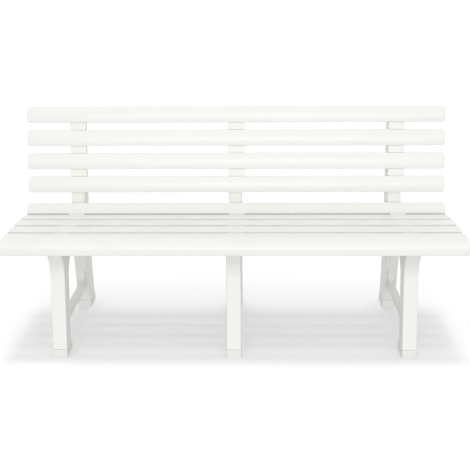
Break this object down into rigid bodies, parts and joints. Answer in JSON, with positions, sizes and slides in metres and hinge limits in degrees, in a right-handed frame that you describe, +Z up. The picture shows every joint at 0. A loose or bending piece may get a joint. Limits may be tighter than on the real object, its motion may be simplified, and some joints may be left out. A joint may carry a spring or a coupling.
{
  "type": "garden bench",
  "caption": "Slatted moulded plastic garden bench with a rolled front seat edge, a slatted back and leg frames joined by low rails.",
  "frame": {"origin": "on the floor, under the middle of the bench's bounding box", "axes": "+X along the bench's length, to the right seen from the front; -Y the way the bench faces; +Z up"},
  "size_m": [1.455, 0.49, 0.74],
  "materials": {
    "slat_plastic": "satin white injection-moulded polypropylene",
    "frame_plastic": "satin white moulded polypropylene",
    "foot_plastic": "matt white polypropylene plug",
    "screw_steel": "zinc-plated pan-head screw"
  },
  "bodies": {
    "root": {"seat_slat_front": "slat_plastic", "seat_slat_1": "slat_plastic", "seat_slat_2": "slat_plastic", "seat_slat_3": "slat_plastic", "seat_slat_rear": "slat_plastic", "back_slat_1": "slat_plastic", "back_slat_2": "slat_plastic", "back_slat_3": "slat_plastic", "back_slat_4": "slat_plastic", "frame_left": "frame_plastic", "frame_middle": "frame_plastic", "frame_right": "frame_plastic", "foot_front_left": "foot_plastic", "foot_rear_left": "foot_plastic", "foot_front_middle": "foot_plastic", "foot_rear_middle": "foot_plastic", "foot_front_right": "foot_plastic", "foot_rear_right": "foot_plastic", "screw_seat_slat_front_left": "screw_steel", "screw_seat_slat_front_middle": "screw_steel", "screw_seat_slat_front_right": "screw_steel", "screw_seat_slat_1_left": "screw_steel", "screw_seat_slat_1_middle": "screw_steel", "screw_seat_slat_1_right": "screw_steel", "screw_seat_slat_2_left": "screw_steel", "screw_seat_slat_2_middle": "screw_steel", "screw_seat_slat_2_right": "screw_steel", "screw_seat_slat_3_left": "screw_steel", "screw_seat_slat_3_middle": "screw_steel", "screw_seat_slat_3_right": "screw_steel", "screw_seat_slat_rear_left": "screw_steel", "screw_seat_slat_rear_middle": "screw_steel", "screw_seat_slat_rear_right": "screw_steel", "screw_back_slat_1_left": "screw_steel", "screw_back_slat_1_middle": "screw_steel", "screw_back_slat_1_right": "screw_steel", "screw_back_slat_2_left": "screw_steel", "screw_back_slat_2_middle": "screw_steel", "screw_back_slat_2_right": "screw_steel", "screw_back_slat_3_left": "screw_steel", "screw_back_slat_3_middle": "screw_steel", "screw_back_slat_3_right": "screw_steel", "screw_back_slat_4_left": "screw_steel", "screw_back_slat_4_middle": "screw_steel", "screw_back_slat_4_right": "screw_steel"}
  },
  "joints": []
}
